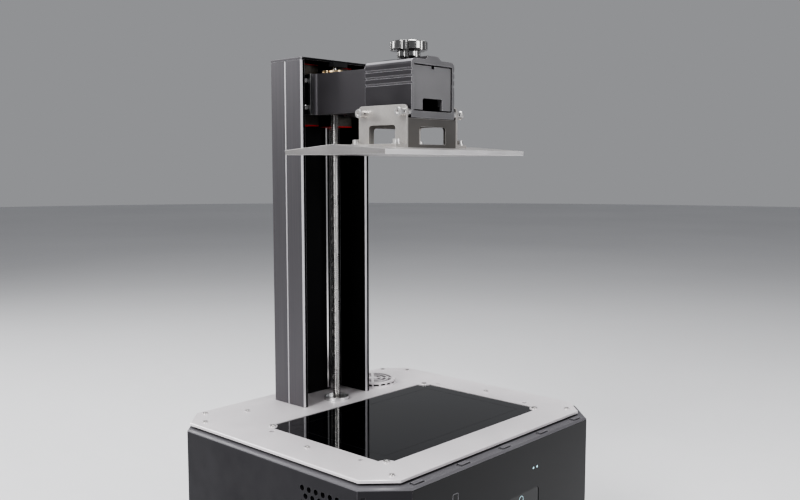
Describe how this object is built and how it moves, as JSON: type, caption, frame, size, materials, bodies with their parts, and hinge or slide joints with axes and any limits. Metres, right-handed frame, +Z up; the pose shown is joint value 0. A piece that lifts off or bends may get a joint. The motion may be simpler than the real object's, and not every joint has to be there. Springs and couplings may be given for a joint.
{
  "type": "resin 3d printer",
  "caption": "Resin printer with an octagonal light-box base, masking screen, rear column and a cantilevered, vertically moving build platform.",
  "frame": {"origin": "on the table, under the middle of the base", "axes": "+Z up, -Y towards the front panel, +X to the right of someone facing the front"},
  "size_m": [0.326, 0.294, 0.5435],
  "materials": {
    "foot_rubber": "matte",
    "shell_grey": "fine powder coat",
    "front_gloss": "polished",
    "rim_grey": "satin",
    "top_silver": "satin",
    "seal_black": "matte",
    "screw_steel": "satin",
    "screen_black": "polished",
    "light_white": "frosted",
    "lens_clear": "polished",
    "reflector_bright": "polished",
    "board_green": "solder mask",
    "bare_aluminium": "machined",
    "fan_black": "matte",
    "filter_foam": "open foam",
    "supply_steel": "galvanised",
    "column_grey": "satin",
    "rail_steel": "ground",
    "motor_black": "satin",
    "block_grey": "satin",
    "seal_red": "satin",
    "carriage_black": "black anodised",
    "nut_brass": "turned",
    "arm_grey": "satin",
    "cap_grey": "satin",
    "housing_grey": "dark anodised",
    "bracket_silver": "satin",
    "plate_silver": "machined",
    "knob_metal": "turned"
  },
  "bodies": {
    "base": {"rubber_feet": "foot_rubber", "bottom_cover": "shell_grey", "left_side_panel": "shell_grey", "right_side_panel": "shell_grey", "rear_panel": "shell_grey", "front_panel": "front_gloss", "corner_panels": "shell_grey", "upper_rim": "rim_grey", "ledge_clips": "rim_grey", "indicator_lights": "light_white", "touch_display": "screen_black", "top_plate": "top_silver", "plate_gasket": "seal_black", "plate_screws": "screw_steel", "air_grille": "top_silver", "screen_glass": "screen_black", "lcd_panel": "screen_black", "collimating_lens": "lens_clear", "light_reflector": "reflector_bright", "led_board": "board_green", "heatsink": "bare_aluminium", "cooling_fan_frame": "fan_black", "exhaust_fan_frame": "fan_black", "carbon_filter": "filter_foam", "mainboard": "board_green", "power_supply": "supply_steel", "power_inlet": "fan_black", "usb_port": "screw_steel", "column_frame": "column_grey", "column_rear_cover": "column_grey", "column_top_cap": "column_grey", "left_rail": "rail_steel", "right_rail": "rail_steel", "rail_screws": "screw_steel", "z_motor": "motor_black", "motor_bracket": "shell_grey", "screw_flange": "bare_aluminium", "top_bearing": "carriage_black", "limit_sensor": "fan_black"},
    "carriage": {"left_guide_block": "block_grey", "right_guide_block": "block_grey", "guide_end_seals": "seal_red", "carriage_plate": "carriage_black", "carriage_screws": "screw_steel", "nut_block": "bare_aluminium", "lead_nut": "nut_brass", "cantilever_arm": "arm_grey", "arm_mount_plates": "bare_aluminium", "arm_end_cap": "cap_grey", "limit_flag": "bare_aluminium"},
    "screw": {"lead_screw": "rail_steel", "shaft_coupler": "bare_aluminium"},
    "platform": {"platform_housing": "housing_grey", "platform_bracket": "bracket_silver", "platform_screws": "screw_steel", "build_plate": "plate_silver"},
    "knob": {"clamp_knob": "knob_metal"},
    "rocker": {"switch_rocker": "front_gloss"},
    "cooling_rotor": {"cooling_fan_rotor": "fan_black"},
    "exhaust_rotor": {"exhaust_fan_rotor": "fan_black"}
  },
  "joints": [
    {"name": "z_travel", "type": "slide", "parent": "base", "child": "carriage", "axis": [0, 0, 1], "range_m": [-0.2575, 0]},
    {"name": "screw_turn", "type": "hinge", "parent": "base", "child": "screw", "pos_m": [0, 0.0795, 0.178], "axis": [0, 0, 1], "range_deg": [-1, 23180]},
    {"name": "platform_release", "type": "slide", "parent": "carriage", "child": "platform", "axis": [0, -1, 0], "range_m": [0, 0.075]},
    {"name": "knob_turn", "type": "hinge", "parent": "platform", "child": "knob", "pos_m": [0, -0.024, 0.53], "axis": [0, 0, 1], "range_deg": [0, 540]},
    {"name": "power_rocker", "type": "hinge", "parent": "base", "child": "rocker", "pos_m": [-0.087, 0.142, 0.042], "axis": [1, 0, 0], "range_deg": [-18, 0]},
    {"name": "cooling_fan_spin", "type": "hinge", "parent": "base", "child": "cooling_rotor", "pos_m": [0, -0.02345, 0.023], "axis": [0, 0, 1], "continuous": true},
    {"name": "exhaust_fan_spin", "type": "hinge", "parent": "base", "child": "exhaust_rotor", "pos_m": [0.0763, 0.1, 0.155], "axis": [0, 0, 1], "continuous": true}
  ],
  "couplings": [
    {"joint": "screw_turn", "follows": "z_travel", "rad_per_m": -1570.8}
  ]
}
